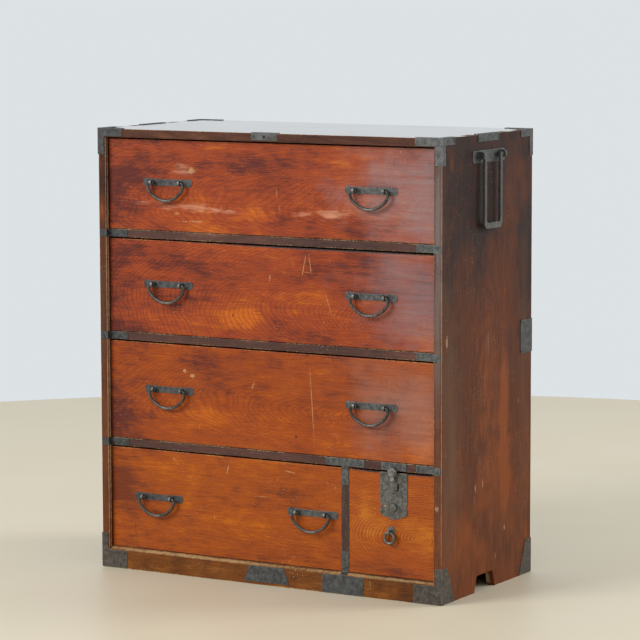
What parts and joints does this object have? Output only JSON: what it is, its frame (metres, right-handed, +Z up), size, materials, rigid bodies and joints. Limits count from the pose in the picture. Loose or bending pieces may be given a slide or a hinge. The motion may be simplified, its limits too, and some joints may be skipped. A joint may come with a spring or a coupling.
{
  "type": "isho clothing chest",
  "caption": "Japanese clothing chest with lacquered drawer fronts, iron corner mounts, hanging bail handles, a small lockable drawer and carrying handles on the sides.",
  "frame": {"origin": "middle of the case on the floor", "axes": "+X to the right seen from the front, +Y towards the back, +Z up"},
  "size_m": [0.913, 0.432, 1.0015],
  "materials": {
    "front_lacquer": "red-brown lacquer over figured keyaki, worn",
    "case_lacquer": "dark brown lacquer, worn at the arrises",
    "top_lacquer": "dark brown lacquer, polished",
    "base_lacquer": "brown lacquer, mottled",
    "plain_wood": "bare aged paulownia",
    "drawer_wood": "bare paulownia",
    "peg_wood": "wooden pegs",
    "iron": "blackened wrought iron with grey patina",
    "worn_iron": "wrought iron rubbed bright by hands"
  },
  "bodies": {
    "case": {"left_side_panel": "case_lacquer", "right_side_panel": "case_lacquer", "top_panel": "top_lacquer", "bottom_board": "plain_wood", "base_front_rail": "base_lacquer", "base_back_rail": "plain_wood", "drawer_rails": "case_lacquer", "dust_boards": "plain_wood", "divider": "case_lacquer", "back_boards": "plain_wood", "case_pegs": "peg_wood", "top_corner_irons": "iron", "bottom_corner_irons": "iron", "edge_plates": "iron", "rail_straps": "iron", "divider_irons": "iron", "lock_catch_plate": "iron", "iron_nails": "iron", "side_handle_plates": "iron", "side_handle_eyes": "iron"},
    "left_carry_handle_body": {"left_carry_handle": "worn_iron"},
    "right_carry_handle_body": {"right_carry_handle": "worn_iron"},
    "top_drawer": {"top_drawer_front": "front_lacquer", "top_drawer_box": "drawer_wood", "top_drawer_bottom": "drawer_wood", "top_drawer_handle_plates": "iron", "top_drawer_handle_posts": "iron"},
    "top_drawer_left_bail_body": {"top_drawer_left_bail": "worn_iron"},
    "top_drawer_right_bail_body": {"top_drawer_right_bail": "worn_iron"},
    "upper_drawer": {"upper_drawer_front": "front_lacquer", "upper_drawer_box": "drawer_wood", "upper_drawer_bottom": "drawer_wood", "upper_drawer_handle_plates": "iron", "upper_drawer_handle_posts": "iron"},
    "upper_drawer_left_bail_body": {"upper_drawer_left_bail": "worn_iron"},
    "upper_drawer_right_bail_body": {"upper_drawer_right_bail": "worn_iron"},
    "lower_drawer": {"lower_drawer_front": "front_lacquer", "lower_drawer_box": "drawer_wood", "lower_drawer_bottom": "drawer_wood", "lower_drawer_handle_plates": "iron", "lower_drawer_handle_posts": "iron"},
    "lower_drawer_left_bail_body": {"lower_drawer_left_bail": "worn_iron"},
    "lower_drawer_right_bail_body": {"lower_drawer_right_bail": "worn_iron"},
    "wide_drawer": {"wide_drawer_front": "front_lacquer", "wide_drawer_box": "drawer_wood", "wide_drawer_bottom": "drawer_wood", "wide_drawer_handle_plates": "iron", "wide_drawer_handle_posts": "iron"},
    "wide_drawer_left_bail_body": {"wide_drawer_left_bail": "worn_iron"},
    "wide_drawer_right_bail_body": {"wide_drawer_right_bail": "worn_iron"},
    "lock_drawer": {"lock_drawer_front": "front_lacquer", "lock_drawer_box": "drawer_wood", "lock_drawer_bottom": "drawer_wood", "lock_plate": "iron", "pull_staple": "iron"},
    "lock_bolt_body": {"lock_bolt": "worn_iron"},
    "lock_button_body": {"lock_button": "worn_iron"},
    "pull_ring_body": {"pull_ring": "worn_iron"}
  },
  "joints": [
    {"name": "top_drawer_slide", "type": "slide", "parent": "case", "child": "top_drawer", "axis": [0, -1, 0], "range_m": [0, 0.3]},
    {"name": "top_drawer_left_bail_hinge", "type": "hinge", "parent": "top_drawer", "child": "top_drawer_left_bail_body", "pos_m": [-0.26, -0.212, 0.883], "axis": [-1, 0, 0], "range_deg": [-8, 160]},
    {"name": "top_drawer_right_bail_hinge", "type": "hinge", "parent": "top_drawer", "child": "top_drawer_right_bail_body", "pos_m": [0.26, -0.212, 0.883], "axis": [-1, 0, 0], "range_deg": [-8, 160]},
    {"name": "upper_drawer_slide", "type": "slide", "parent": "case", "child": "upper_drawer", "axis": [0, -1, 0], "range_m": [0, 0.3]},
    {"name": "upper_drawer_left_bail_hinge", "type": "hinge", "parent": "upper_drawer", "child": "upper_drawer_left_bail_body", "pos_m": [-0.26, -0.212, 0.6545], "axis": [-1, 0, 0], "range_deg": [-8, 160]},
    {"name": "upper_drawer_right_bail_hinge", "type": "hinge", "parent": "upper_drawer", "child": "upper_drawer_right_bail_body", "pos_m": [0.26, -0.212, 0.6545], "axis": [-1, 0, 0], "range_deg": [-8, 160]},
    {"name": "lower_drawer_slide", "type": "slide", "parent": "case", "child": "lower_drawer", "axis": [0, -1, 0], "range_m": [0, 0.3]},
    {"name": "lower_drawer_left_bail_hinge", "type": "hinge", "parent": "lower_drawer", "child": "lower_drawer_left_bail_body", "pos_m": [-0.26, -0.212, 0.417], "axis": [-1, 0, 0], "range_deg": [-8, 160]},
    {"name": "lower_drawer_right_bail_hinge", "type": "hinge", "parent": "lower_drawer", "child": "lower_drawer_right_bail_body", "pos_m": [0.26, -0.212, 0.417], "axis": [-1, 0, 0], "range_deg": [-8, 160]},
    {"name": "wide_drawer_slide", "type": "slide", "parent": "case", "child": "wide_drawer", "axis": [0, -1, 0], "range_m": [0, 0.3]},
    {"name": "wide_drawer_left_bail_hinge", "type": "hinge", "parent": "wide_drawer", "child": "wide_drawer_left_bail_body", "pos_m": [-0.291, -0.212, 0.17], "axis": [-1, 0, 0], "range_deg": [-8, 160]},
    {"name": "wide_drawer_right_bail_hinge", "type": "hinge", "parent": "wide_drawer", "child": "wide_drawer_right_bail_body", "pos_m": [0.112, -0.212, 0.17], "axis": [-1, 0, 0], "range_deg": [-8, 160]},
    {"name": "lock_drawer_slide", "type": "slide", "parent": "case", "child": "lock_drawer", "axis": [0, -1, 0], "range_m": [0, 0.3]},
    {"name": "lock_bolt_slide", "type": "slide", "parent": "lock_drawer", "child": "lock_bolt_body", "axis": [0, 0, 1], "range_m": [0, 0.01]},
    {"name": "lock_button_press", "type": "slide", "parent": "lock_drawer", "child": "lock_button_body", "axis": [0, 1, 0], "range_m": [0, 0.003], "stiffness_N_per_m": 400, "springref_m": -0.001},
    {"name": "pull_ring_hinge", "type": "hinge", "parent": "lock_drawer", "child": "pull_ring_body", "pos_m": [0.309, -0.2095, 0.1476], "axis": [-1, 0, 0], "range_deg": [-12, 150]},
    {"name": "left_carry_handle_hinge", "type": "hinge", "parent": "case", "child": "left_carry_handle_body", "pos_m": [-0.4485, 0, 0.955], "axis": [0, 1, 0], "range_deg": [-2, 178]},
    {"name": "right_carry_handle_hinge", "type": "hinge", "parent": "case", "child": "right_carry_handle_body", "pos_m": [0.4485, 0, 0.955], "axis": [0, -1, 0], "range_deg": [-2, 178]}
  ]
}
